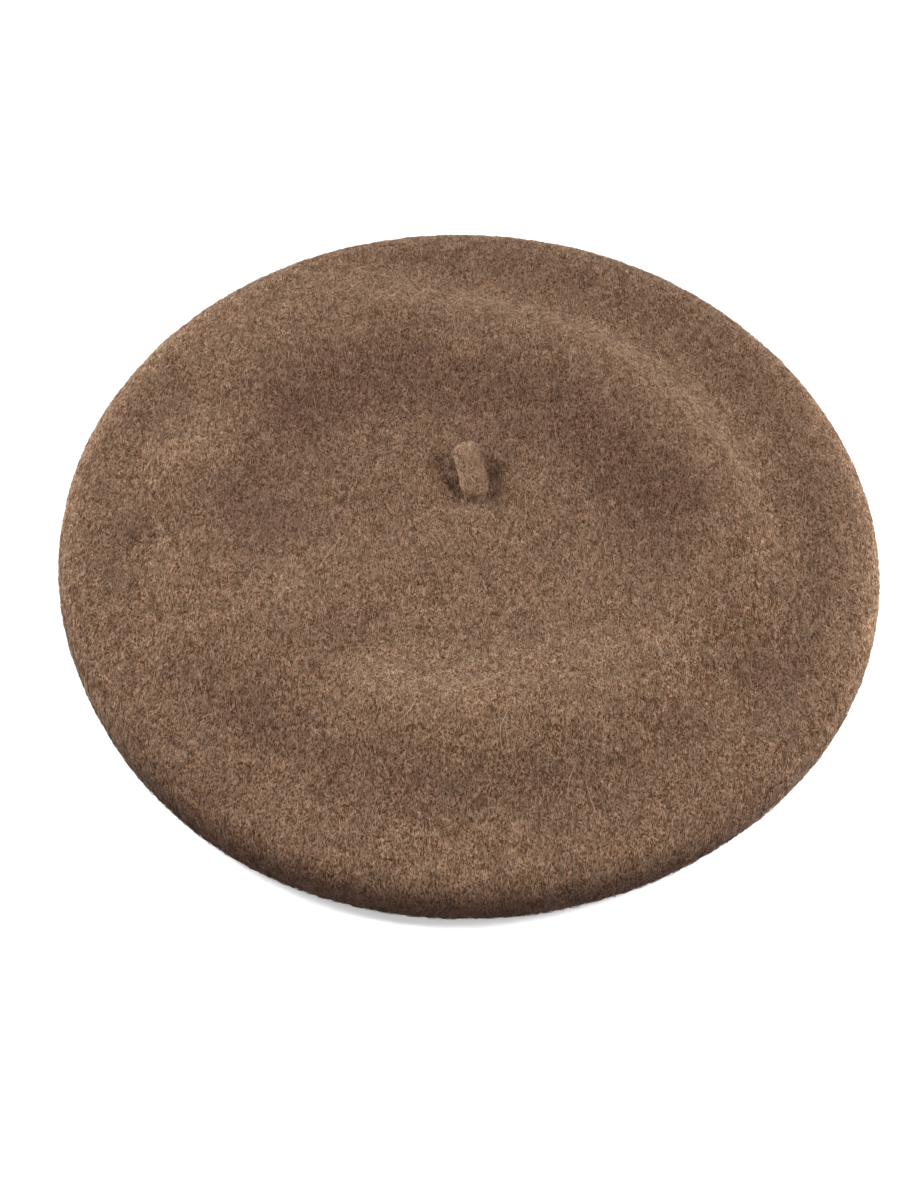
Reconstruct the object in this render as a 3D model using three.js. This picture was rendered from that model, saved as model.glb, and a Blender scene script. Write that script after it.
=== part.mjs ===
// A wool felt beret that lies on its underside, opening down: one seamless hollow felt shell, and the short
// felt stalk that is sewn in at the middle of its top. Millimetres, +Z up. The origin is the middle of the
// beret's outline on the surface that it lies on; -Y is its front edge and +X its right.
import * as THREE from "three";

// The felt shell, as it comes off its block.
const wall = 2.5; // thickness of the felt
const plateRadius = 140; // mean radius of the outline seen from above
const rimDepth = 19; // from the surface to the top of the rim
const rimReach = 10; // how far the rim's rounding reaches in from the outline
const openingRadius = 85; // the hole for the head, at the hem
const hemReach = 1.2; // how far the hem's rounded edge stands into that hole
const pulledShare = 0.7; // share of the radius within which the felt is drawn towards the stalk

// How the top lies: round the middle is a sunk dish, then a low ridge where the felt rides over the edge of
// the opening, then a shelf that runs out to the rim. A row gives these for one direction, every 30 degrees
// anticlockwise from +X: the outline's radius, the dish's height, the radius where its floor starts to rise,
// the ridge's radius and height, and the radius and height of the shelf's inner edge.
const sections = [
  { angle: 0, outline: 139.8, dish: 15.0, foot: 34, ridgeAt: 88, ridge: 23.2, shelfAt: 110, shelf: 16.6 },
  { angle: 30, outline: 138.0, dish: 15.0, foot: 16, ridgeAt: 83, ridge: 25.0, shelfAt: 107, shelf: 16.8 },
  { angle: 60, outline: 138.2, dish: 15.0, foot: 12, ridgeAt: 82, ridge: 25.2, shelfAt: 106, shelf: 17.0 },
  { angle: 90, outline: 138.8, dish: 15.0, foot: 12, ridgeAt: 84, ridge: 25.0, shelfAt: 112, shelf: 17.5 },
  { angle: 120, outline: 140.2, dish: 15.0, foot: 30, ridgeAt: 94, ridge: 24.6, shelfAt: 142, shelf: 19.0 },
  { angle: 150, outline: 140.4, dish: 15.0, foot: 40, ridgeAt: 98, ridge: 22.4, shelfAt: 138, shelf: 19.0 },
  { angle: 180, outline: 139.6, dish: 15.0, foot: 36, ridgeAt: 92, ridge: 22.5, shelfAt: 114, shelf: 18.6 },
  { angle: 210, outline: 138.8, dish: 15.5, foot: 24, ridgeAt: 90, ridge: 22.5, shelfAt: 116, shelf: 18.3 },
  { angle: 240, outline: 140.2, dish: 15.0, foot: 20, ridgeAt: 85, ridge: 25.0, shelfAt: 114, shelf: 18.0 },
  { angle: 270, outline: 139.8, dish: 15.0, foot: 22, ridgeAt: 85, ridge: 26.2, shelfAt: 115, shelf: 18.0 },
  { angle: 300, outline: 139.5, dish: 15.0, foot: 20, ridgeAt: 86, ridge: 25.6, shelfAt: 114, shelf: 17.5 },
  { angle: 330, outline: 140.6, dish: 15.0, foot: 28, ridgeAt: 88, ridge: 20.8, shelfAt: 116, shelf: 17.4 },
];
const riseSkew = 1.5; // above 1, the rise to the ridge is steepest close to the ridge
const leastLevelling = 8; // least width over which the felt levels out to the rim

// Soft dents and bumps in the top: where each lies, its half lengths along and across its own direction, and
// its rise, which is negative for a dent.
const dents = [
  { name: "front_left_fold", angle: 213, radius: 72, heading: 213, along: 34, across: 15, rise: 2.4 },
  { name: "front_left_dent", angle: 238, radius: 74, heading: 229, along: 34, across: 12, rise: -1.8 },
  { name: "left_back_bump", angle: 171, radius: 103, heading: 84, along: 13, across: 9, rise: 3.0 },
  { name: "left_front_bump", angle: 196, radius: 104, heading: 106, along: 12, across: 9, rise: 2.2 },
  { name: "lower_left_bump", angle: 208, radius: 108, heading: 120, along: 15, across: 8, rise: 2.2 },
  { name: "left_back_saddle", angle: 152, radius: 105, heading: 152, along: 20, across: 10, rise: -2.2 },
  { name: "left_saddle", angle: 184, radius: 103, heading: 184, along: 14, across: 6, rise: -1.2 },
  { name: "right_front_dent", angle: 328, radius: 107, heading: 17, along: 28, across: 13, rise: -3.4 },
  { name: "right_dish_dent", angle: 18, radius: 42, heading: 108, along: 24, across: 12, rise: -2.4 },
  { name: "hollow_left_of_stalk", angle: 107, radius: 28, heading: 95, along: 8, across: 4, rise: -1.0 },
  { name: "hollow_right_of_stalk", angle: 69, radius: 26, heading: 85, along: 9, across: 4, rise: -0.8 },
  { name: "back_pimple", angle: 90, radius: 70, heading: 90, along: 5, across: 3.5, rise: 0.9 },
];

// The stalk, and the small dimple that its stitching pulls into the felt round it.
const stalkX = 3;
const stalkY = 13.8;
const stalkLength = 20.6; // along its middle line
const stalkRadius = 4.8;
const stalkFoot = 0.62; // share of that radius at its foot
const stalkSwollen = 0.25; // share of the length at which it has its full radius
const stalkTip = 0.8; // share of the length at which its rounded tip begins
const tipBluntness = 2.4; // powers that shape the dome of the tip: 2 and 0.5 would make it half an ellipse
const tipRounding = 0.45;
const stalkLeanBack = 50; // degrees from upright at the tip
const stalkLeanLeft = 24;
const stalkClearance = 0.3; // between the foot and the felt
const dimpleBack = 2.5; // how far behind the stalk's foot its middle lies
const dimpleDepth = 2.2;
const dimpleRadius = 13;
const seatRadius = 6; // the flat middle of the dimple

// How finely the surfaces are divided.
const spokes = 72;
const topRings = 24;
const liningRings = 18; // the same top felt, on its inside
const rimSteps = 9;
const innerRimSteps = 7;
const undersideSteps = 5;
const hemSteps = 3;
const ringCrowding = 1.3; // above 1, rings lie closer together near the stalk
const stalkRings = 12;
const stalkSides = 16;

// Smooth share from 0 to 1, level at both ends.
function ease(value) {
  const share = THREE.MathUtils.clamp(value, 0, 1);
  return share * share * share * (share * (share * 6 - 15) + 10);
}

// A column of the sections at any angle in degrees: a Catmull-Rom curve through the rows, closed on itself.
function around(column, angle) {
  const count = sections.length;
  const place = ((((angle / 360) * count) % count) + count) % count;
  const row = Math.floor(place);
  const share = place - row;
  const [before, from, to, after] = [-1, 0, 1, 2].map(
    (step) => sections[(row + step + count) % count][column],
  );
  const slope = to - before;
  const bend = 2 * before - 5 * from + 4 * to - after;
  const twist = 3 * (from - to) + after - before;
  return from + 0.5 * share * (slope + share * (bend + share * twist));
}

// What the dents and bumps add to the top at a place.
function dentsRise(x, y) {
  let rise = 0;
  for (const dent of dents) {
    const place = THREE.MathUtils.degToRad(dent.angle);
    const heading = THREE.MathUtils.degToRad(dent.heading);
    const dx = x - dent.radius * Math.cos(place);
    const dy = y - dent.radius * Math.sin(place);
    const along = (dx * Math.cos(heading) + dy * Math.sin(heading)) / dent.along;
    const across = (dy * Math.cos(heading) - dx * Math.sin(heading)) / dent.across;
    rise += dent.rise * Math.exp(-along * along - across * across);
  }
  return rise;
}

// Height of the outer face of the top above a place of the surface, out to where the rim's rounding begins.
function topHeight(x, y) {
  const angle = THREE.MathUtils.radToDeg(Math.atan2(y, x));
  const radius = Math.hypot(x, y);
  const dish = around("dish", angle);
  const foot = around("foot", angle);
  const ridgeRadius = around("ridgeAt", angle);
  const ridge = around("ridge", angle);
  const shelfRadius = around("shelfAt", angle);
  const shelf = around("shelf", angle);
  const rimStart = around("outline", angle) - rimReach;
  const meanDish = sections.reduce((sum, row) => sum + row.dish, 0) / sections.length;
  const floor = meanDish + (dish - meanDish) * ease(radius / foot);
  const climbed = THREE.MathUtils.clamp((radius - foot) / (ridgeRadius - foot), 0, 1);
  const rising = (ridge - floor) * ease(climbed ** riseSkew);
  const falling = (shelf - ridge) * ease((radius - ridgeRadius) / (shelfRadius - ridgeRadius));
  const levelsFrom = Math.min(shelfRadius, rimStart - leastLevelling);
  const levelling = (rimDepth - shelf) * ease((radius - levelsFrom) / (rimStart - levelsFrom));
  const fromDimple = Math.hypot(x - stalkX, y - stalkY - dimpleBack);
  const dimple = dimpleDepth * (1 - ease((fromDimple - seatRadius) / (dimpleRadius - seatRadius)));
  return floor + rising + falling + levelling + dentsRise(x, y) - dimple;
}

// The shell's wall before it is laid down, as a closed profile from the middle of the top, out round the rim,
// in under it to the hem, and back along the inside.
function shellProfile() {
  const rimCentre = plateRadius - rimReach;
  const rimMiddle = rimDepth / 2;
  const profile = [];
  const add = (radius, height) => profile.push(new THREE.Vector2(radius, height));
  const addArc = (centreRadius, centreHeight, halfWidth, halfHeight, from, to, steps) => {
    for (let step = 0; step <= steps; step += 1) {
      const turn = THREE.MathUtils.degToRad(from + ((to - from) * step) / steps);
      add(centreRadius + halfWidth * Math.cos(turn), centreHeight + halfHeight * Math.sin(turn));
    }
  };
  for (let ring = 0; ring < topRings; ring += 1) {
    add(rimCentre * (ring / topRings) ** ringCrowding, rimDepth);
  }
  addArc(rimCentre, rimMiddle, rimReach, rimMiddle, 90, -90, rimSteps);
  for (let step = 1; step < undersideSteps; step += 1) {
    add(rimCentre + ((openingRadius - rimCentre) * step) / undersideSteps, 0);
  }
  addArc(openingRadius, wall / 2, hemReach, wall / 2, 270, 90, hemSteps);
  for (let step = 1; step < undersideSteps; step += 1) {
    add(openingRadius + ((rimCentre - openingRadius) * step) / undersideSteps, wall);
  }
  addArc(rimCentre, rimMiddle, rimReach - wall, rimMiddle - wall, -90, 90, innerRimSteps);
  for (let ring = liningRings - 1; ring >= 0; ring -= 1) {
    add(rimCentre * (ring / liningRings) ** ringCrowding, rimDepth - wall);
  }
  return profile;
}

// Carries a point of the round shell to where it lies: the knit's middle moves under the stalk, the outline
// swells and pulls in, and the top felt sinks or rides up as topHeight says, both of its faces alike.
function layDown(point) {
  const angle = THREE.MathUtils.radToDeg(Math.atan2(point.y, point.x));
  const share = Math.hypot(point.x, point.y) / plateRadius;
  const swell = 1 + (around("outline", angle) / plateRadius - 1) * share * share;
  const towardsStalk = 1 - ease(share / pulledShare);
  point.x = point.x * swell + stalkX * towardsStalk;
  point.y = point.y * swell + stalkY * towardsStalk;
  const rimMiddle = rimDepth / 2;
  const partOfTop = ease((point.z - rimMiddle) / (rimMiddle - wall));
  point.z += partOfTop * (topHeight(point.x, point.y) - rimDepth);
}

function crownGeometry() {
  const geometry = new THREE.LatheGeometry(shellProfile().reverse(), spokes);
  geometry.rotateX(Math.PI / 2);
  const positions = geometry.getAttribute("position");
  const point = new THREE.Vector3();
  for (let index = 0; index < positions.count; index += 1) {
    point.fromBufferAttribute(positions, index);
    layDown(point);
    positions.setXYZ(index, point.x, point.y, point.z);
  }
  geometry.computeVertexNormals();
  return geometry;
}

// The stalk is a round profile carried along a line that leaves the felt upright and bends back and left, at
// first quickly. Its radius grows from the foot to the full stalk, and the tip is a blunt dome.
function stalkGeometry() {
  const lean = new THREE.Vector2(
    -Math.tan(THREE.MathUtils.degToRad(stalkLeanLeft)),
    Math.tan(THREE.MathUtils.degToRad(stalkLeanBack)),
  );
  const positions = [];
  const faces = [];
  const middle = new THREE.Vector3();
  const upright = new THREE.Vector3(0, 0, 1);
  for (let ring = 0; ring <= stalkRings; ring += 1) {
    const along = Math.sin((Math.PI / 2) * (ring / stalkRings)); // rings crowd towards the tip
    const bent = Math.sqrt(along);
    const heading = new THREE.Vector3(lean.x * bent, lean.y * bent, 1).normalize();
    if (ring > 0) {
      const before = Math.sin((Math.PI / 2) * ((ring - 1) / stalkRings));
      middle.addScaledVector(heading, stalkLength * (along - before));
    }
    const swelling = stalkFoot + (1 - stalkFoot) * ease(along / stalkSwollen);
    const intoTip = THREE.MathUtils.clamp((along - stalkTip) / (1 - stalkTip), 0, 1);
    const radius = stalkRadius * swelling * (1 - intoTip ** tipBluntness) ** tipRounding;
    const turn = new THREE.Quaternion().setFromUnitVectors(upright, heading);
    const sides = ring === stalkRings ? 1 : stalkSides;
    for (let side = 0; side < sides; side += 1) {
      const angle = (2 * Math.PI * side) / stalkSides;
      const reach = sides === 1 ? 0 : radius;
      const corner = new THREE.Vector3(reach * Math.cos(angle), reach * Math.sin(angle), 0);
      corner.applyQuaternion(turn).add(middle);
      positions.push(corner.x, corner.y, corner.z);
    }
  }
  const tip = stalkRings * stalkSides;
  const foot = tip + 1;
  positions.push(0, 0, 0);
  for (let side = 0; side < stalkSides; side += 1) {
    const next = (side + 1) % stalkSides;
    faces.push(foot, next, side);
    for (let ring = 0; ring < stalkRings - 1; ring += 1) {
      const low = ring * stalkSides;
      const high = low + stalkSides;
      faces.push(low + side, low + next, high + next, low + side, high + next, high + side);
    }
    faces.push(tip - stalkSides + side, tip - stalkSides + next, tip);
  }
  const geometry = new THREE.BufferGeometry();
  geometry.setAttribute("position", new THREE.Float32BufferAttribute(positions, 3));
  geometry.setIndex(faces);
  geometry.computeVertexNormals();
  return geometry;
}

function namedMesh(name, geometry, material) {
  const mesh = new THREE.Mesh(geometry, material);
  mesh.name = name;
  return mesh;
}

const felt = new THREE.MeshStandardMaterial({ color: 0x7d624f, roughness: 0.95, metalness: 0 });
const stalkFelt = new THREE.MeshStandardMaterial({ color: 0x83674f, roughness: 0.9, metalness: 0 });

const beret = new THREE.Group();
const crown = namedMesh("crown", crownGeometry(), felt);
const stalk = namedMesh("stalk", stalkGeometry(), stalkFelt);
stalk.position.set(stalkX, stalkY, topHeight(stalkX, stalkY) + stalkClearance);
beret.add(crown, stalk);

// The outline isn't quite round, so the whole is moved until its middle is over the origin.
const extent = new THREE.Box3().setFromObject(beret, true);
beret.position.set(-(extent.min.x + extent.max.x) / 2, -(extent.min.y + extent.max.y) / 2, 0);

export default beret;
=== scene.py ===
"""A brown wool felt beret with a short felt stalk, lying flat on a pale floor under soft studio light.

Tables and named sizes are in millimetres, and points are turned into metres where a mesh is made. The beret
lies as its solids do: -Y is its front edge, +X its right, and the origin is under the middle of its outline.
"""

import bpy
import numpy as np
from mathutils import Matrix


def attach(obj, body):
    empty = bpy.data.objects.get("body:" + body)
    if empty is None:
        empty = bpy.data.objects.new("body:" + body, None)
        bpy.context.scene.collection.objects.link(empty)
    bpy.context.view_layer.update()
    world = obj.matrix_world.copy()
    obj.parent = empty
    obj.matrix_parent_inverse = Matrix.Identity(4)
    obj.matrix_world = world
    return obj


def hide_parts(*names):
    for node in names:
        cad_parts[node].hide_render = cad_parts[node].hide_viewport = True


MM = 0.001
WHOLE_TURN = 2 * np.pi

# The least length or step that anything is divided by
TINY = 1e-9
LEAST_STEP = 0.05


def table(columns, *rows):
    """Rows of values under named columns. Counts are whole numbers, and the column name holds words."""
    kinds = {"name": "U32", "count": int, "rings": int, "waves": int}
    return np.array(list(rows), dtype=[(column, kinds.get(column, float)) for column in columns.split()])


# The felt shell, as it comes off its block
WALL = 2.5
PLATE_RADIUS = 140.0
RIM_DEPTH = 19.0
RIM_REACH = 10.0
OPENING_RADIUS = 85.0
HEM_REACH = 1.2
PULLED_SHARE = 0.7

# How the top lies, for one direction in each row: the outline's radius, the dish's height, the radius where
# its floor starts to rise, the ridge's radius and height, and the radius and height of the shelf's inner edge
SECTIONS = table(
    "angle outline dish foot ridge_at ridge shelf_at shelf",
    (0, 139.8, 15.0, 34, 88, 23.2, 110, 16.6),
    (30, 138.0, 15.0, 16, 83, 25.0, 107, 16.8),
    (60, 138.2, 15.0, 12, 82, 25.2, 106, 17.0),
    (90, 138.8, 15.0, 12, 84, 25.0, 112, 17.5),
    (120, 140.2, 15.0, 30, 94, 24.6, 142, 19.0),
    (150, 140.4, 15.0, 40, 98, 22.4, 138, 19.0),
    (180, 139.6, 15.0, 36, 92, 22.5, 114, 18.6),
    (210, 138.8, 15.5, 24, 90, 22.5, 116, 18.3),
    (240, 140.2, 15.0, 20, 85, 25.0, 114, 18.0),
    (270, 139.8, 15.0, 22, 85, 26.2, 115, 18.0),
    (300, 139.5, 15.0, 20, 86, 25.6, 114, 17.5),
    (330, 140.6, 15.0, 28, 88, 20.8, 116, 17.4),
)

# The rise to the ridge is steeper near the ridge than at its foot, and the felt levels out to the rim over at
# least this width
RISE_SKEW = 1.5
LEAST_LEVELLING = 8.0

# Soft dents and bumps: place (direction, radius), own direction, half lengths along and across it, and rise
DENTS = table(
    "angle radius heading along across rise",
    (213, 72, 213, 34, 15, 2.4),  # front left fold
    (238, 74, 229, 34, 12, -1.8),  # front left dent
    (171, 103, 84, 13, 9, 3.0),  # left back bump
    (196, 104, 106, 12, 9, 2.2),  # left front bump
    (208, 108, 120, 15, 8, 2.2),  # lower left bump
    (152, 105, 152, 20, 10, -2.2),  # left back saddle
    (184, 103, 184, 14, 6, -1.2),  # left saddle
    (328, 107, 17, 28, 13, -3.4),  # right front dent
    (18, 42, 108, 24, 12, -2.4),  # right dent in the dish
    (107, 28, 95, 8, 4, -1.0),  # hollow left of the stalk
    (69, 26, 85, 9, 4, -0.8),  # hollow right of the stalk
    (90, 70, 90, 5, 3.5, 0.9),  # back pimple
)

# The stalk and the dimple round its foot. The tip's dome starts at a share of the length, and its two powers,
# which would be 2 and 0.5 for half an ellipse, make it blunt
STALK_X, STALK_Y = 3.0, 13.8
STALK_LENGTH = 20.6
STALK_RADIUS = 4.8
STALK_FOOT = 0.62
STALK_SWOLLEN = 0.25
STALK_TIP = 0.8
TIP_BLUNTNESS = 2.4
TIP_ROUNDING = 0.45
STALK_LEAN_BACK = 50.0
STALK_LEAN_LEFT = 24.0
DIMPLE_BACK = 2.5
DIMPLE_DEPTH = 2.2
DIMPLE_RADIUS = 13.0
SEAT_RADIUS = 6.0

# The photo's view of the beret: the camera looks at it from the front and above, in degrees, and a millimetre
# of the beret at the camera's distance takes up so many pixels of the frame
FRAME_HEIGHT_PX = 1200
PX_PER_MM = 2.906
SENSOR_MM = 36.0
CAMERA_DISTANCE = 600.0
CAMERA_ELEVATION = 54.8
CAMERA_YAW = -0.54
CAMERA_PITCH = -2.15
AIM_HEIGHT = 10.0
NEAREST_SEEN_M = 0.01

# How finely the surfaces are divided
SPOKES = 420
RINGS = {"top": 92, "rim": 22, "underside": 12, "hem": 5, "inner_underside": 6, "inner_rim": 8, "lining": 28}
STALK_RINGS, STALK_SIDES = 48, 48
UNDERSIDE_FROM = RINGS["top"] + RINGS["rim"]

# The felt's lumps: how many plane waves, their shortest and longest wavelength, and how far they lift the
# felt. They calm down over the last rings of the top, to a share of their height on the rim
LUMPS = table("waves shortest longest lift", (60, 4.0, 9.0, 0.035), (24, 18.0, 45.0, 0.18))
LUMPS_SEED = 11
CALMING_RINGS = 20
RIM_CALM = 0.3

# The loose fibres, a row for each piece of fuzz: how many, rings along one, its mean length, its half width
# at the root, its mean lift off the felt, the share of a half wave that the lift follows, from standing at
# 0.5 to lying down again near 1, how strongly it curls, in degrees along its length, and its darkest tone,
# from 0 to 1. They stop a few rings above the crown's underside
FUZZ = table(
    "name count rings length half_width lift arch curl darkest",
    ("crown_nap_a", 19800, 2, 3.3, 0.105, 0.40, 0.6, 130, 0.0),
    ("crown_nap_b", 19800, 2, 3.3, 0.105, 0.40, 0.6, 130, 0.0),
    ("crown_nap_c", 19800, 2, 3.3, 0.105, 0.40, 0.6, 130, 0.0),
    ("crown_fuzz_curly", 7000, 4, 4.2, 0.10, 0.45, 0.9, 190, 0.1),
    ("crown_fuzz_long", 300, 8, 9.0, 0.08, 0.7, 0.9, 240, 0.5),
    ("crown_hairs", 70, 8, 15.0, 0.12, 0.6, 0.95, 110, 0.8),
    ("stalk_nap", 1600, 2, 2.2, 0.10, 0.20, 0.6, 170, 0.0),
)
FUZZ_SEED = 100
BARE_RINGS = 6

# How deep a fibre's root sits in the felt, how far a fibre stays off the floor, and how many rings short of
# the last one it stays, which is one and a little
FIBRE_SINK = 0.08
FLOOR_GAP = 0.3
END_MARGIN = 1.01

# How the fibres differ: the share that runs front to back, and how far those stray, in radians, the least
# and most of the mean length, lift and width, and how much the curl changes from step to step. A thread's
# width falls as a power of what is left of its length, and its crest is so many half widths high
COMBED_SHARE = 0.75
COMBED_STRAY = 0.42
LENGTH_RANGE = (0.6, 1.4)
LIFT_RANGE = (0.3, 1.7)
WIDTH_RANGE = (0.7, 1.3)
CURL_CHANGE = 0.8
THREAD_TAPER = 0.6
THREAD_CREST = 1.3

# Painted light and shade on the felt, which stand in for how the lamps fall on it: how much lighter it is
# where it faces the back or a side, and how much darker where it faces the front, more or less, or climbs
# outwards. Each shade depends on a part of the unit normal, or on the slope. It is full at its FULL value, or
# it starts at its FROM value and grows over its OVER value, and at its GONE value the side's has gone again,
# towards the front
PAINTED_BACK_LIGHT = 0.55
BACK_FULL = 0.4
PAINTED_FRONT_SHADE = 0.72
PAINTED_SHADE_FACING = (-0.13, -0.991, 0.0)
PAINTED_SHADE_FROM, PAINTED_SHADE_OVER = 0.38, 0.55
PAINTED_CLIMB_SHADE = 0.8
CLIMB_FULL = 0.4
PAINTED_SIDE_LIGHT = 0.5
SIDE_FROM, SIDE_OVER = 0.3, 0.6
SIDE_GONE = 0.5
SHADING_SMOOTHINGS = 3

# Painted light and shade on the stalk: lighter where it faces left and darker where it faces right, and
# lighter towards its foot, where the dimple's shade falls, from this share of the way down
STALK_PAINTED_SIDE_LIGHT = 0.4
STALK_PAINTED_FOOT_LIGHT = 0.2
STALK_LIGHTER_FROM = 0.3

# Patches of painted light and shade: place, heading, half lengths along and across, and how much lighter or
# darker the felt is there. They follow a measured map of where photo and render differed
PAINTED_SHADE_PATCHES = table(
    "x y heading along across shade",
    (-2.0, 71.5, 0, 3.4, 3.4, 0.50),  # painted highlight on the pimple behind the stalk
    (0.7, 65.0, 0, 3.2, 3.2, -0.15),  # painted shade at its foot
    (-106, 47, 0, 10, 9, -0.36),  # left side, from back to front
    (-95, 23, 8, 22, 9, 0.25),
    (-114, -10, 80, 14, 7, -0.22),
    (-98, -40, 95, 18, 6, 0.24),
    (-68, -78, 90, 9, 9, -0.20),
    (-80, -102, -40, 22, 6, -0.15),
    (-74, 4, 5, 26, 8, -0.12),
    (-60, 50, -35, 26, 14, -0.12),  # dish
    (17, 6, 0, 9, 7, 0.17),
    (-39, -38, 60, 9, 6, -0.18),
    (0, -60, 0, 22, 5, -0.14),
    (4, -75, 0, 34, 6, 0.14),
    (-24, -33, -27, 30, 7, 0.12),
    (48, -22, 90, 18, 6, 0.12),
    (71, -25, 70, 18, 6, 0.18),  # right side
    (76, 12, -20, 20, 9, -0.16),
    (98, -60, 110, 20, 11, -0.30),
    (62, -77, 12, 24, 8, -0.20),
    (82, -33, 90, 11, 6, -0.14),
    (110, -26, 0, 9, 6, -0.14),
    (6, -126, 0, 24, 6, 0.11),  # front
    (-109, 81, 53, 28, 7, 0.36),  # back
    (42, 76, -30, 12, 5, 0.12),
    (104, 74, -45, 14, 8, -0.14),
)

# Colours of the felt, from the gaps to the fibres of its wool, and the tints that multiply them: two pairs
# for slow changes, and one for the painted light and shade, which lightens or darkens green and blue a little
# more than red
FELT_GAPS = (0.061, 0.018, 0.003, 1)
FELT_FIBRES = (0.426, 0.286, 0.191, 1)
OLIVE = (0.974, 1.009, 1.0, 1)
PINKISH = (1.026, 0.991, 1.0, 1)
YELLOWISH = (1.0, 1.0, 0.955, 1)
GREYISH = (1.0, 1.0, 1.045, 1)
SHEEN_TINT = (1.0, 0.82, 0.68, 1)
PAINTED_SHADE_TINT = (0.9, 1.03, 1.03)

# The wool's grain, as a share of a material's own: how fine it is, and how strongly it counts. Along X, Y and
# Z it is only so fine, which draws it out from front to back and upwards
GRAINS = table("fineness weight", (0.5, 0.4), (1.0, 1.0), (1.9, 2.6))
GRAIN_DRAW = (1.0, 0.36, 0.5)
MOTTLE_WEIGHT = 0.08

# The matted fibres on the felt's face, a row for each main direction: how many features of the noise fit in a
# millimetre, how far from the noise's middle value a line reaches, its turn in degrees, and how strongly it
# counts. They are drawn out as the grain is, after the turn
WOOL_LINES = table(
    "per_mm thinness turn weight",
    (0.40, 0.050, -40, 0.40),
    (0.50, 0.055, 30, 0.35),
    (0.65, 0.060, 0, 0.40),
)
LINE_DRAW = (1.0, 0.5, 0.7)

# The studio, in metres: four square lamps, how strongly the sky lights the scene, how much brighter the
# camera sees the sky and the floor than they light it, and the floor
LIGHTS = table(
    "name x y z size watts",
    ("left_high", -0.32, -0.08, 0.45, 0.15, 2.3),
    ("right_high", 0.31, -0.16, 0.45, 0.15, 2.55),
    ("left_low", -0.42, 0.32, 0.15, 0.2, 2.8),
    ("right_low", 0.50, 0.12, 0.14, 0.2, 2.4),
)
LAMPS_AIM = (0, 0, 0.02)
WORLD_STRENGTH = 0.08
GROUND_GLOW = 0.5
FLOOR_REACH = 4.0
FLOOR_COLOUR = (0.9, 0.9, 0.9, 1)
WHITE = (1, 1, 1, 1)


def ease(value):
    """Smooth share from 0 to 1, level at both ends: 6 s^5 - 15 s^4 + 10 s^3 of s, the value held in 0..1."""
    s = np.clip(value, 0, 1)
    return s * s * s * (s * (s * 6 - 15) + 10)


def unit(vectors):
    """The vectors, each made one long."""
    return vectors / np.maximum(np.linalg.norm(vectors, axis=-1, keepdims=True), TINY)


def around(column, angle):
    """A column of the sections at any angle in degrees: a Catmull-Rom curve through the rows, closed."""
    values = SECTIONS[column]
    count = len(values)
    place = np.asarray(angle) / 360 * count % count
    row = np.floor(place).astype(int)
    s = place - row
    before, start, end, after = (values[(row + step) % count] for step in (-1, 0, 1, 2))
    bend = 2 * before - 5 * start + 4 * end - after
    twist = 3 * (start - end) + after - before
    return start + 0.5 * s * (end - before + s * (bend + s * twist))


def soft_patch(x, y, middle_x, middle_y, row):
    """How strongly a table's row counts at plan points: exp(-(along^2 + across^2)), with the distances along
    and across the row's heading measured in its own half lengths."""
    heading, dx, dy = np.radians(row["heading"]), x - middle_x, y - middle_y
    along = (dx * np.cos(heading) + dy * np.sin(heading)) / row["along"]
    across = (dy * np.cos(heading) - dx * np.sin(heading)) / row["across"]
    return np.exp(-along * along - across * across)


def dents_rise(x, y):
    """Sum over the dents of their rise times the soft patch that each makes."""
    rise = np.zeros_like(x)
    for dent in DENTS:
        place = np.radians(dent["angle"])
        middle_x, middle_y = dent["radius"] * np.cos(place), dent["radius"] * np.sin(place)
        rise += dent["rise"] * soft_patch(x, y, middle_x, middle_y, dent)
    return rise


def top_height(x, y):
    """Height of the outer face of the top over a plan point: dish, then a smooth rise to the ridge, a smooth
    fall to the shelf and a smooth levelling to the rim, plus the dents, less the dimple round the stalk."""
    angle, radius = np.degrees(np.arctan2(y, x)), np.hypot(x, y)
    dish, foot, ridge_at, ridge, shelf_at, shelf = (
        around(column, angle) for column in ("dish", "foot", "ridge_at", "ridge", "shelf_at", "shelf")
    )
    rim_start = around("outline", angle) - RIM_REACH
    levels_from = np.minimum(shelf_at, rim_start - LEAST_LEVELLING)
    mean_dish = SECTIONS["dish"].mean()
    floor = mean_dish + (dish - mean_dish) * ease(radius / foot)
    rising = (ridge - floor) * ease(np.clip((radius - foot) / (ridge_at - foot), 0, 1) ** RISE_SKEW)
    falling = (shelf - ridge) * ease((radius - ridge_at) / (shelf_at - ridge_at))
    levelling = (RIM_DEPTH - shelf) * ease((radius - levels_from) / (rim_start - levels_from))
    from_dimple = np.hypot(x - STALK_X, y - STALK_Y - DIMPLE_BACK)
    dimple = DIMPLE_DEPTH * (1 - ease((from_dimple - SEAT_RADIUS) / (DIMPLE_RADIUS - SEAT_RADIUS)))
    return floor + rising + falling + levelling + dents_rise(x, y) - dimple


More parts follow.
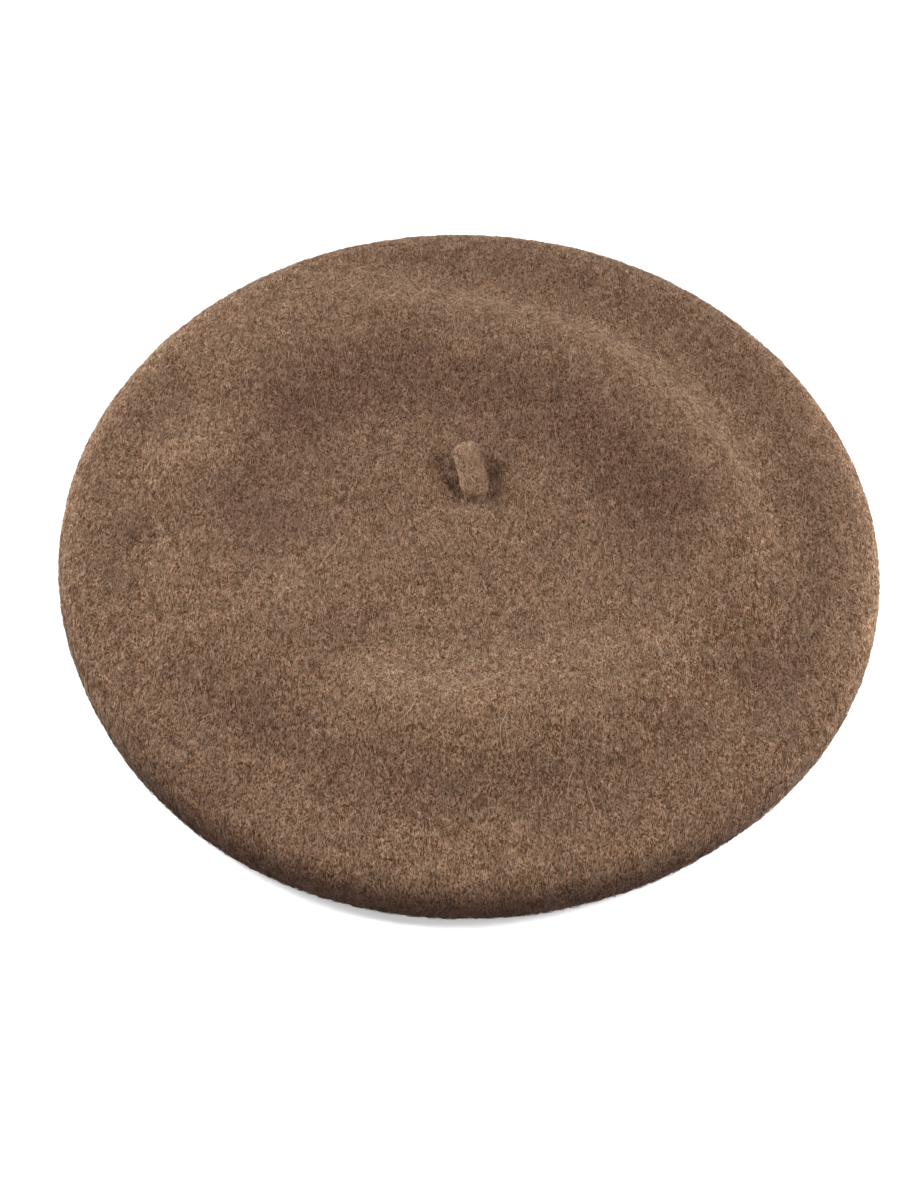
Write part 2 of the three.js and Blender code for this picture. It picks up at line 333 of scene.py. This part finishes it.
def shell_profile():
    """The shell's wall before it is laid down, as (radius, height) rows: straight runs for the top, underside
    and lining, and half ellipses for the rim, the hem and the inside of the rim."""
    rim_centre, middle = PLATE_RADIUS - RIM_REACH, RIM_DEPTH / 2

    def run(start, end, height, steps):
        share = np.arange(steps) / steps
        return np.column_stack([start + (end - start) * share, np.full(steps, height)])

    def arc(centre, height, half_width, half_height, start, end, steps):
        turn = np.radians(np.linspace(start, end, steps, endpoint=False))
        return np.column_stack([centre + half_width * np.cos(turn), height + half_height * np.sin(turn)])

    inner = WALL / 2
    return np.vstack(
        [
            run(0, rim_centre, RIM_DEPTH, RINGS["top"]),
            arc(rim_centre, middle, RIM_REACH, middle, 90, -90, RINGS["rim"]),
            run(rim_centre, OPENING_RADIUS, 0, RINGS["underside"]),
            arc(OPENING_RADIUS, inner, HEM_REACH, inner, 270, 90, RINGS["hem"]),
            run(OPENING_RADIUS, rim_centre, WALL, RINGS["inner_underside"]),
            arc(rim_centre, middle, RIM_REACH - WALL, middle - WALL, -90, 90, RINGS["inner_rim"]),
            run(rim_centre, 0, RIM_DEPTH - WALL, RINGS["lining"]),
            [[0, RIM_DEPTH - WALL]],
        ]
    )


def lay_down(points):
    """Carries points of the round shell to where they lie: the middle moves under the stalk, the outline
    swells or pulls in with the square of the radius, and the top felt moves to top_height, both of its faces
    alike."""
    x, y, z = points[..., 0], points[..., 1], points[..., 2]
    angle, share = np.degrees(np.arctan2(y, x)), np.hypot(x, y) / PLATE_RADIUS
    swell = 1 + (around("outline", angle) / PLATE_RADIUS - 1) * share * share
    towards_stalk = 1 - ease(share / PULLED_SHARE)
    x = x * swell + STALK_X * towards_stalk
    y = y * swell + STALK_Y * towards_stalk
    middle = RIM_DEPTH / 2
    part_of_top = ease((z - middle) / (middle - WALL))
    return np.stack([x, y, z + part_of_top * (top_height(x, y) - RIM_DEPTH)], axis=-1)


def ring_grid(profile, spokes):
    """Sweeps (radius, height) rows round the Z axis: point (row, spoke) is (r cos a, r sin a, h)."""
    angle = np.linspace(0, WHOLE_TURN, spokes, endpoint=False)
    radius = profile[:, :1]
    height = np.broadcast_to(profile[:, 1:], (len(profile), spokes))
    return np.stack([radius * np.cos(angle), radius * np.sin(angle), height], axis=-1)


def surface_normals(grid):
    """Unit normals of a grid of rings: the cross product of its slopes along the rows and round the rings."""
    along = np.gradient(grid, axis=0)
    round_ring = np.roll(grid, -1, axis=1) - np.roll(grid, 1, axis=1)
    return unit(np.cross(along, round_ring))


def lumps_rise(points, rng):
    """Lumps of the felt over any points: for each row of LUMPS, a sum of sine waves of random direction,
    phase and wavelength, scaled so that its spread is the row's lift."""
    rise = np.zeros(points.shape[:-1])
    for row in LUMPS:
        direction = unit(rng.normal(size=(row["waves"], 3)))
        wavelength = rng.uniform(row["shortest"], row["longest"], row["waves"])
        phase = rng.uniform(0, WHOLE_TURN, row["waves"])
        height = row["lift"] * np.sqrt(2 / row["waves"])
        for way, length, start in zip(direction, wavelength, phase):
            rise += height * np.sin(WHOLE_TURN / length * (points @ way) + start)
    return rise


def crown_surface():
    """The crown's rings, laid down and centred, and how far the centring moved them. The top and the rim are
    lifted along their normals by the felt's lumps, and nothing sinks below the floor."""
    grid = lay_down(ring_grid(shell_profile(), SPOKES))
    extent = np.stack([grid.min((0, 1)), grid.max((0, 1))])
    centring = -extent.mean(0) * [1, 1, 0]
    grid += centring
    outer = grid[: UNDERSIDE_FROM + RINGS["underside"]]
    calmed = ease((np.arange(len(outer)) - RINGS["top"] + CALMING_RINGS) / CALMING_RINGS)
    liveliness = 1 - (1 - RIM_CALM) * calmed
    liveliness[UNDERSIDE_FROM:] = 0
    lumps = lumps_rise(outer, np.random.default_rng(LUMPS_SEED)) * liveliness[:, None]
    grid[: len(outer)] = outer + surface_normals(outer) * lumps[..., None]
    grid[0] = grid[0].mean(0)
    grid[..., 2] = np.maximum(grid[..., 2], 0)
    return grid, centring


def stalk_surface(centring):
    """Rings of radius r(s) round a line that leaves the felt upright and bends back and left: its heading is
    (-tan(left) q, tan(back) q, 1) made a unit vector, where q is the square root of the share s of the
    length, and the tip is a blunt dome. The rings run from the tip down to the foot's middle."""
    along = np.sin(np.linspace(0, np.pi / 2, STALK_RINGS))
    lean = np.array([-np.tan(np.radians(STALK_LEAN_LEFT)), np.tan(np.radians(STALK_LEAN_BACK))])
    heading = unit(np.column_stack([np.outer(np.sqrt(along), lean), np.ones(STALK_RINGS)]))
    middle = np.cumsum(np.diff(along, prepend=0)[:, None] * heading * STALK_LENGTH, axis=0)
    swelling = STALK_FOOT + (1 - STALK_FOOT) * ease(along / STALK_SWOLLEN)
    into_tip = np.clip((along - STALK_TIP) / (1 - STALK_TIP), 0, 1)
    radius = STALK_RADIUS * swelling * (1 - into_tip**TIP_BLUNTNESS) ** TIP_ROUNDING
    across = unit(np.cross([0.0, 1.0, 0.0], heading))
    over = np.cross(heading, across)
    angle = np.linspace(0, WHOLE_TURN, STALK_SIDES, endpoint=False)[None, :, None]
    rings = middle[:, None] + radius[:, None, None] * (
        across[:, None] * np.cos(angle) + over[:, None] * np.sin(angle)
    )
    foot = np.zeros((1, STALK_SIDES, 3))
    seat = [STALK_X, STALK_Y, top_height(np.array(STALK_X), np.array(STALK_Y))]
    return np.vstack([foot, rings])[::-1] + seat + centring


def crown_shading(grid):
    """The crown's painted light and shade, which stand in for how the lamps fall. Felt that faces the back is
    lighter, in step with its normal's Y up to BACK_FULL, and felt that faces the front, a little to the left,
    is darker. Where the top doesn't face the back it is darker where it climbs outwards. Felt that faces a
    side is lighter, less so towards the front. Then come the painted patches, and a smoothing along the rows."""
    outward = np.gradient(grid, axis=0)
    run = np.maximum(np.hypot(outward[..., 0], outward[..., 1]), LEAST_STEP)
    climb = np.clip(outward[..., 2] / run, 0, CLIMB_FULL)
    climb[RINGS["top"] :] = 0
    normals = surface_normals(grid)
    sideways, backward, forward = np.abs(normals[..., 0]), normals[..., 1], normals @ np.array(PAINTED_SHADE_FACING)
    # Painted light where the felt faces the back or a side, painted shade where it faces the front or climbs
    # outwards
    painted_back_light = PAINTED_BACK_LIGHT * np.clip(backward, 0, BACK_FULL)
    painted_front_shade = PAINTED_FRONT_SHADE * ease((forward - PAINTED_SHADE_FROM) / PAINTED_SHADE_OVER)
    shade = painted_back_light - painted_front_shade - PAINTED_CLIMB_SHADE * climb * (1 - ease(backward / BACK_FULL))
    shade += PAINTED_SIDE_LIGHT * ease((sideways - SIDE_FROM) / SIDE_OVER) * (1 - ease(forward / SIDE_GONE))
    # Patches of painted light and shade
    for mark in PAINTED_SHADE_PATCHES:
        shade += mark["shade"] * soft_patch(grid[..., 0], grid[..., 1], mark["x"], mark["y"], mark)
    shade[UNDERSIDE_FROM:] = 0
    for _ in range(SHADING_SMOOTHINGS):
        shade[1:-1] = (shade[:-2] + shade[1:-1] + shade[2:]) / 3
    return shade


def stalk_shading(rings):
    """The stalk's painted light and shade: lighter on its left and towards its foot, darker on its right."""
    down = np.linspace(0, 1, len(rings))[:, None]
    return STALK_PAINTED_FOOT_LIGHT * (down - STALK_LIGHTER_FROM) - STALK_PAINTED_SIDE_LIGHT * surface_normals(rings)[..., 0]


def mesh_object(name, points, corners, sizes):
    """A smooth mesh object from points in metres, the faces' corners in a row, and how many each face has."""
    mesh = bpy.data.meshes.new(name)
    mesh.vertices.add(len(points))
    mesh.vertices.foreach_set("co", points.astype(np.float32).ravel())
    mesh.loops.add(len(corners))
    mesh.loops.foreach_set("vertex_index", corners.astype(np.int32))
    mesh.polygons.add(len(sizes))
    mesh.polygons.foreach_set("loop_start", (np.cumsum(sizes) - sizes).astype(np.int32))
    mesh.update(calc_edges=True)
    mesh.validate()
    mesh.shade_smooth()
    piece = bpy.data.objects.new(name, mesh)
    bpy.context.scene.collection.objects.link(piece)
    return piece


def closed_mesh(name, grid):
    """A closed mesh from a grid of rings, in millimetres: neighbouring rings are joined by squares, and the
    first and last ring, which have each shrunk to one point, by triangles. Those two points come last."""
    rows, spokes = grid.shape[:2]
    middle = grid[1:-1].reshape(-1, 3)
    points = np.vstack([middle, grid[0].mean(0), grid[-1].mean(0)]) * MM
    near = np.arange(spokes)
    far = (near + 1) % spokes
    ring = spokes * np.arange(rows - 3)[:, None]
    next_ring = ring + spokes
    squares = np.stack([ring + near, next_ring + near, next_ring + far, ring + far], -1).reshape(-1, 4)
    last_ring, start_pole, end_pole = spokes * (rows - 3), len(middle), len(middle) + 1
    start_fan = np.column_stack([np.full(spokes, start_pole), near, far])
    end_fan = np.column_stack([last_ring + near, np.full(spokes, end_pole), last_ring + far])
    corners = np.concatenate([squares.ravel(), start_fan.ravel(), end_fan.ravel()])
    sizes = np.repeat([4, 3], [len(squares), 2 * spokes])
    return mesh_object(name, points, corners, sizes)


def point_values(piece, name, values):
    """Keeps a number for each point of a piece as an attribute that its material reads."""
    kept = piece.data.attributes.new(name, "FLOAT", "POINT")
    kept.data.foreach_set("value", values.astype(np.float32).ravel())


def at(grid, row, spoke):
    """The grid's value at fractional rows and spokes, blended from the four corners round each place."""
    low_row = np.clip(np.floor(row).astype(int), 0, len(grid) - 2)
    low_spoke = np.floor(spoke).astype(int)
    u, v = (row - low_row)[:, None], (spoke - low_spoke)[:, None]
    near, far = low_spoke % grid.shape[1], (low_spoke + 1) % grid.shape[1]
    inner = grid[low_row, near] * (1 - v) + grid[low_row, far] * v
    outer = grid[low_row + 1, near] * (1 - v) + grid[low_row + 1, far] * v
    return inner * (1 - u) + outer * u


def fibre_paths(kind, grid, rng):
    """Where one kind of fibre lies on a grid of rings: the points along each, the felt's normals there, and
    the row and spoke of its root. A fibre starts at a random place, evenly by area, and creeps over the
    surface in equal steps while its direction turns, so it lies in a curl. Most run roughly front to back,
    the others anyhow. Its height above the surface is lift * sin(pi * arch * t) - sink, with t the share of
    its length, and it stays above the floor. Some 160 of the 68,000 fibres go wrong: one that meets a pole,
    where normals are zero, loses its place there, and one that starts by the grid's last row steps too far."""
    count, rings = kind["count"], kind["rings"]
    normals = surface_normals(grid)
    along, round_ring = np.diff(grid, axis=0), np.roll(grid, -1, axis=1) - grid
    area = np.linalg.norm(np.cross(along, round_ring[:-1]), axis=-1)
    cell = rng.choice(area.size, count, p=(area / area.sum()).ravel())
    row = cell // grid.shape[1] + rng.random(count)
    spoke = cell % grid.shape[1] + rng.random(count)
    root, last_row = (row, spoke), len(grid) - END_MARGIN
    step_length = kind["length"] * rng.uniform(*LENGTH_RANGE, count) / rings
    turning = np.radians(kind["curl"]) * rng.uniform(-1, 1, count) / rings
    lengthwise = np.pi / 2 + np.pi * rng.integers(0, 2, count) + rng.normal(0, COMBED_STRAY, count)
    anyhow = rng.uniform(0, WHOLE_TURN, count)
    combed = rng.random(count) < COMBED_SHARE
    heading = np.where(combed, lengthwise, anyhow) - spoke / grid.shape[1] * WHOLE_TURN
    height = kind["lift"] * rng.uniform(*LIFT_RANGE, count)
    points, up = [], []
    for step in range(rings + 1):
        place, normal = at(grid, row, spoke), at(normals, row, spoke)
        normal /= np.linalg.norm(normal, axis=1, keepdims=True)
        rise = height * np.sin(np.pi * kind["arch"] * (step / rings)) - FIBRE_SINK
        points.append(place + normal * rise[:, None])
        up.append(normal)
        half_row = at(grid, np.minimum(row + 0.5, last_row), spoke) - place
        half_spoke = at(grid, row, spoke + 0.5) - place
        row_size = np.maximum(2 * np.linalg.norm(half_row, axis=1), LEAST_STEP)
        spoke_size = np.maximum(2 * np.linalg.norm(half_spoke, axis=1), LEAST_STEP)
        row = np.clip(row + step_length * np.cos(heading) / row_size, 0, last_row)
        spoke = spoke + step_length * np.sin(heading) / spoke_size
        heading = heading + turning * (1 + CURL_CHANGE * rng.uniform(-1, 1, count))
    points = np.stack(points, axis=1)
    points[..., 2] = np.maximum(points[..., 2], FLOOR_GAP)
    return points, np.stack(up, axis=1), root


def thread_faces(rings):
    """The triangles of one thread, whose three-point rings come one after another and its tip last: two for
    each side between two rings, three at the tip, and one that closes the root."""
    faces = []
    for ring in range(rings - 1):
        for corner in range(3):
            here, there = 3 * ring + corner, 3 * ring + (corner + 1) % 3
            faces += [[here, there, there + 3], [here, there + 3, here + 3]]
    last = 3 * (rings - 1)
    faces += [[last + corner, last + (corner + 1) % 3, last + 3] for corner in range(3)]
    return np.array(faces + [[0, 2, 1]])


def fuzz_piece(kind, grid, shading, rng):
    """One piece of fuzz: fibres of one kind on a grid of rings, each a three-sided thread that tapers to a
    point. Its half width is half_width * (1 - t)^taper, with t the share of its length. The attribute tone is
    its own random shade, from the darkest that its kind has to 1, and another attribute holds the felt's
    painted light and shade at its root."""
    count, rings = kind["count"], kind["rings"]
    points, up, root = fibre_paths(kind, grid, rng)
    side = unit(np.cross(up, np.gradient(points, axis=1)))
    left = 1 - np.linspace(0, 1, rings + 1)[None, :, None]
    width = kind["half_width"] * rng.uniform(*WIDTH_RANGE, count)[:, None, None] * left**THREAD_TAPER
    crest = points + up * width * THREAD_CREST
    corners = np.stack([points - side * width, points + side * width, crest], axis=2)
    threads = np.concatenate([corners[:, :-1].reshape(count, -1, 3), points[:, -1:]], axis=1)
    thread_points = threads.shape[1]
    first = thread_points * np.arange(count)[:, None, None]
    triangles = (first + thread_faces(rings)).reshape(-1, 3)
    sizes = np.full(len(triangles), 3)
    piece = mesh_object(str(kind["name"]), threads.reshape(-1, 3) * MM, triangles.ravel(), sizes)
    point_values(piece, "tone", np.repeat(rng.uniform(kind["darkest"], 1, count), thread_points))
    # The felt's painted light and shade at each fibre's root
    point_values(piece, "painted_shading", np.repeat(at(shading[..., None], *root)[:, 0], thread_points))
    return piece


def add_node(tree, kind, settings=None, **inputs):
    """A new shader node with its settings, and with its inputs set to values or joined to other sockets. An
    input is given by its name, or by the letter i and its number."""
    made = tree.nodes.new(kind)
    for name, value in (settings or {}).items():
        setattr(made, name, value)
    for name, value in inputs.items():
        socket = made.inputs[int(name[1:])] if name[0] == "i" and name[1:].isdigit() else made.inputs[name]
        if isinstance(value, bpy.types.NodeSocket):
            tree.links.new(value, socket)
        else:
            socket.default_value = value
    return made


def noise(tree, place, per_mm, detail, roughness=0.5, distortion=0.0):
    """Noise from 0 to 1 with per_mm features in each millimetre."""
    sizes = {"Scale": per_mm / MM, "Detail": detail, "Roughness": roughness, "Distortion": distortion}
    return add_node(tree, "ShaderNodeTexNoise", Vector=place, **sizes).outputs["Fac"]


def math(tree, operation, first, second=0.0, third=0.0):
    """Up to three numbers worked into one."""
    settings = {"operation": operation}
    return add_node(tree, "ShaderNodeMath", settings, i0=first, i1=second, i2=third).outputs[0]


def from_middle(tree, value):
    """How far a value from 0 to 1 is over its middle."""
    return math(tree, "SUBTRACT", value, 0.5)


def times(tree, first, second):
    """Two colours or places multiplied, each part by its own."""
    return add_node(tree, "ShaderNodeVectorMath", {"operation": "MULTIPLY"}, i0=first, i1=second).outputs[0]


def spread(tree, value, low, high, to_low=0.0, to_high=1.0):
    """A value between low and high carried to between to_low and to_high."""
    made = add_node(tree, "ShaderNodeMapRange", i0=value, i1=low, i2=high, i3=to_low, i4=to_high)
    return made.outputs["Result"]


def mix_colour(tree, share, first, second):
    """The first colour at share 0, the second at share 1."""
    made = add_node(tree, "ShaderNodeMix", {"data_type": "RGBA"}, i0=share, i6=first, i7=second)
    return made.outputs[2]


def attribute(tree, name):
    """A number that a piece keeps for each of its points."""
    return add_node(tree, "ShaderNodeAttribute", {"attribute_name": name}).outputs["Fac"]


def turned(tree, place, degrees):
    """The place turned about Z."""
    settings, spin = {"vector_type": "POINT"}, (0, 0, np.radians(degrees))
    return add_node(tree, "ShaderNodeMapping", settings, Vector=place, Rotation=spin).outputs[0]


def hair_lines(tree, place, per_mm, thinness):
    """Thin curling lines: where twisted noise passes through its middle value."""
    value = noise(tree, place, per_mm, detail=1.0, roughness=0.5, distortion=1.6)
    away = math(tree, "ABSOLUTE", from_middle(tree, value))
    return spread(tree, away, low=0.0, high=thinness, to_low=1.0, to_high=0.0)


def tint(tree, place, first, second, per_mm):
    """A colour that changes slowly from a first tint to a second, in patches of many sizes."""
    share = noise(tree, place, per_mm, detail=4.0, roughness=0.95)
    return mix_colour(tree, spread(tree, share, low=0.35, high=0.65), first, second)


def felt_tints(tree, place):
    """The felt's changes of colour, which multiply it: olive to pinkish, and yellowish to greyish."""
    reds = tint(tree, place, OLIVE, PINKISH, per_mm=0.08)
    return times(tree, reds, tint(tree, place, YELLOWISH, GREYISH, per_mm=0.11))


def wool_share(tree, place, level, grain_per_mm, contrast):
    """How much light fibre shows, round a level, against dark gaps: slow mottling, and the grains, which are
    drawn out from front to back."""
    mottle = noise(tree, place, per_mm=0.14, detail=3.0, roughness=0.6)
    share = math(tree, "MULTIPLY_ADD", from_middle(tree, mottle), MOTTLE_WEIGHT, level)
    combed = times(tree, place, GRAIN_DRAW)
    for fineness, weight in GRAINS.tolist():
        grain = noise(tree, combed, grain_per_mm * fineness, detail=1.0, roughness=0.6, distortion=0.3)
        share = math(tree, "MULTIPLY_ADD", from_middle(tree, grain), weight * contrast, share)
    return share


def wool_lines(tree, place):
    """The matted fibres on the face of the felt: thin curling lines that lie in a few main directions, the
    strongest of them at each point."""
    most = 0.0
    for per_mm, thinness, turn, weight in WOOL_LINES.tolist():
        line = hair_lines(tree, times(tree, turned(tree, place, turn), LINE_DRAW), per_mm, thinness)
        most = math(tree, "MAXIMUM", math(tree, "MULTIPLY", line, weight), most)
    return most


def wool_colour(tree, place, share):
    """The gaps' colour at share 0 and the fibres' at 1, tinted, and multiplied by 1 plus the painted light and
    shade times its tint.
    """
    held = add_node(tree, "ShaderNodeClamp", Value=share).outputs[0]
    wool = times(tree, mix_colour(tree, held, FELT_GAPS, FELT_FIBRES), felt_tints(tree, place))
    # Painted light and shade lighten or darken the wool's colour
    shading = add_node(
        tree,
        "ShaderNodeVectorMath",
        {"operation": "MULTIPLY_ADD"},
        i0=attribute(tree, "painted_shading"),
        i1=PAINTED_SHADE_TINT,
        i2=(1, 1, 1),
    )
    return times(tree, wool, shading.outputs[0])


def new_material(name, sockets):
    """A material with values on its shader's own sockets, its node tree and its shader."""
    material = bpy.data.materials.new(name)
    material.use_nodes = True
    shader = material.node_tree.nodes["Principled BSDF"]
    for socket, value in sockets.items():
        shader.inputs[socket].default_value = value
    return material, material.node_tree, shader


def felt_material(name, level, grain_per_mm, contrast, relief):
    """Matted wool: the wool's pattern and colours, a soft sheen, and the same grain as relief."""
    material, tree, shader = new_material(
        name,
        {
            "Roughness": 1.0,
            "Specular IOR Level": 0.04,
            "Sheen Weight": 0.18,
            "Sheen Roughness": 0.5,
            "Sheen Tint": SHEEN_TINT,
        },
    )
    place = add_node(tree, "ShaderNodeTexCoord").outputs["Object"]
    wool = wool_share(tree, place, level, grain_per_mm, contrast)
    share = math(tree, "ADD", wool, wool_lines(tree, place))
    tree.links.new(wool_colour(tree, place, share), shader.inputs["Base Color"])
    bump = add_node(tree, "ShaderNodeBump", Height=share, Strength=1.0, Distance=relief * MM)
    tree.links.new(bump.outputs[0], shader.inputs["Normal"])
    return material


def fuzz_material(name, level, grain_per_mm, contrast, own_shade):
    """Loose fibres: the wool's pattern goes on over them, and each one is a little darker or lighter too."""
    material, tree, shader = new_material(
        name,
        {"Roughness": 0.8, "Specular IOR Level": 0.06, "Sheen Weight": 0.15, "Sheen Tint": SHEEN_TINT},
    )
    place = add_node(tree, "ShaderNodeTexCoord").outputs["Object"]
    wool = wool_share(tree, place, level, grain_per_mm, contrast)
    own = from_middle(tree, attribute(tree, "tone"))
    share = math(tree, "MULTIPLY_ADD", own, own_shade, wool)
    tree.links.new(wool_colour(tree, place, share), shader.inputs["Base Color"])
    return material


def dress(piece, material, node=None):
    """Gives a piece its material and its body, and hides the node that it stands for, if any."""
    piece.data.materials.append(material)
    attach(piece, "root")
    if node:
        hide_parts(node)


def felt_piece(name, grid, shading, pole_shades, material, node):
    """A closed piece of felt in a node's place, which keeps its painted light and shade at each point, poles
    last.
    """
    piece = closed_mesh(name, grid)
    # Painted light and shade for each point
    point_values(piece, "painted_shading", np.append(shading[1:-1], pole_shades))
    dress(piece, material, node)


def make_beret(crown_rings, stalk_rings):
    """Every piece of the beret: the crown's felt, the stalk's felt, and the fuzz on both."""
    felt = felt_material("brown felt", level=0.12, grain_per_mm=1.4, contrast=0.7, relief=0.3)
    fuzz = fuzz_material("brown fuzz", level=0.35, grain_per_mm=0.9, contrast=0.22, own_shade=1.0)
    stalk_felt = felt_material("stalk felt", level=0.29, grain_per_mm=1.4, contrast=0.6, relief=0.2)
    stalk_fuzz = fuzz_material("stalk fuzz", level=0.51, grain_per_mm=0.9, contrast=0.25, own_shade=1.15)
    crown_shade, stalk_shade = crown_shading(crown_rings), stalk_shading(stalk_rings)
    felt_piece("crown_felt", crown_rings, crown_shade, crown_shade[[0, -1], 0], felt, "crown")
    felt_piece("stalk_felt", stalk_rings, stalk_shade, (0, 0), stalk_felt, "stalk")
    fuzzy = slice(0, UNDERSIDE_FROM - BARE_RINGS)
    for index, kind in enumerate(FUZZ):
        rng = np.random.default_rng(FUZZ_SEED + index)
        if kind["name"].startswith("stalk"):
            dress(fuzz_piece(kind, stalk_rings[:-1], stalk_shade, rng), stalk_fuzz)
        else:
            dress(fuzz_piece(kind, crown_rings[fuzzy], crown_shade[fuzzy], rng), fuzz)


def point_at(holder, place, direction):
    """Puts a light or camera at a place in metres, looking along a direction, with its top towards +Z."""
    forward = unit(direction)
    right = unit(np.cross(forward, [0, 0, 1]))
    matrix = np.eye(4)
    matrix[:3] = np.column_stack([right, np.cross(right, forward), -forward, place])
    holder.matrix_world = Matrix(matrix.tolist())


def photo_camera(centring):
    """The camera at the photo's angle: from in front and above it looks at a point over the middle of the
    plate, which moved with the centring, and is then turned by yaw and pitch."""
    tilt = np.radians(CAMERA_ELEVATION)
    place = centring + [0, -CAMERA_DISTANCE * np.cos(tilt), AIM_HEIGHT + CAMERA_DISTANCE * np.sin(tilt)]
    forward = np.array([0, np.cos(tilt), -np.sin(tilt)])
    right = np.array([1.0, 0, 0])
    upward = np.cross(right, forward)
    yaw, pitch = np.radians(CAMERA_YAW), np.radians(CAMERA_PITCH)
    ahead = forward * np.cos(yaw) * np.cos(pitch)
    direction = ahead + right * np.sin(yaw) + upward * np.sin(pitch) * np.cos(yaw)
    data = bpy.data.cameras.new("photo_view")
    data.lens = PX_PER_MM * CAMERA_DISTANCE / FRAME_HEIGHT_PX * SENSOR_MM
    data.sensor_width = SENSOR_MM
    data.clip_start = NEAREST_SEEN_M
    camera = bpy.data.objects.new("photo_view", data)
    bpy.context.scene.collection.objects.link(camera)
    point_at(camera, place * MM, direction)
    bpy.context.scene.camera = camera


def glowing(tree, lighting, socket):
    """Joins a socket to a strength that lights the scene as lighting says, and that the camera sees brighter
    by GROUND_GLOW."""
    seen = add_node(tree, "ShaderNodeLightPath").outputs["Is Camera Ray"]
    tree.links.new(math(tree, "MULTIPLY_ADD", seen, GROUND_GLOW, lighting), socket)


def pale_sky():
    """A white sky that lights the scene weakly from all round."""
    world = bpy.data.worlds.new("studio")
    world.use_nodes = True
    background = world.node_tree.nodes["Background"]
    background.inputs["Color"].default_value = WHITE
    glowing(world.node_tree, WORLD_STRENGTH, background.inputs["Strength"])
    bpy.context.scene.world = world


def soft_lamps():
    """Four small soft lamps near the beret: two high ones in front at the left and right, and two low ones at
    the sides towards the back."""
    for row in LIGHTS:
        lamp = bpy.data.lights.new(row["name"], "AREA")
        lamp.size = row["size"]
        lamp.energy = row["watts"]
        holder = bpy.data.objects.new(row["name"], lamp)
        bpy.context.scene.collection.objects.link(holder)
        place = np.array([row["x"], row["y"], row["z"]])
        point_at(holder, place, LAMPS_AIM - place)


def pale_floor():
    """A wide pale square under the beret."""
    corners = FLOOR_REACH * np.array([[-1, -1, 0], [1, -1, 0], [1, 1, 0], [-1, 1, 0]])
    floor = mesh_object("floor", corners, np.arange(4), np.array([4]))
    material, tree, shader = new_material(
        "pale floor",
        {"Base Color": FLOOR_COLOUR, "Roughness": 1.0, "Specular IOR Level": 0.0, "Emission Color": WHITE},
    )
    glowing(tree, 0.0, shader.inputs["Emission Strength"])
    floor.data.materials.append(material)


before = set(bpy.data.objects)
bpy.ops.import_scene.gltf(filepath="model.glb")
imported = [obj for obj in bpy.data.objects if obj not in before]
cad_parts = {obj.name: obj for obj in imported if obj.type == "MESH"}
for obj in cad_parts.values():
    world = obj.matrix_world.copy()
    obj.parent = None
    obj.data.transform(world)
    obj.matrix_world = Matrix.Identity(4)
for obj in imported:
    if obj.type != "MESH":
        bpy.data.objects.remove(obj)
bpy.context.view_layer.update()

crown, centring = crown_surface()
make_beret(crown, stalk_surface(centring))
bpy.context.scene.view_settings.view_transform = "Standard"
pale_sky()
soft_lamps()
pale_floor()
photo_camera(centring)
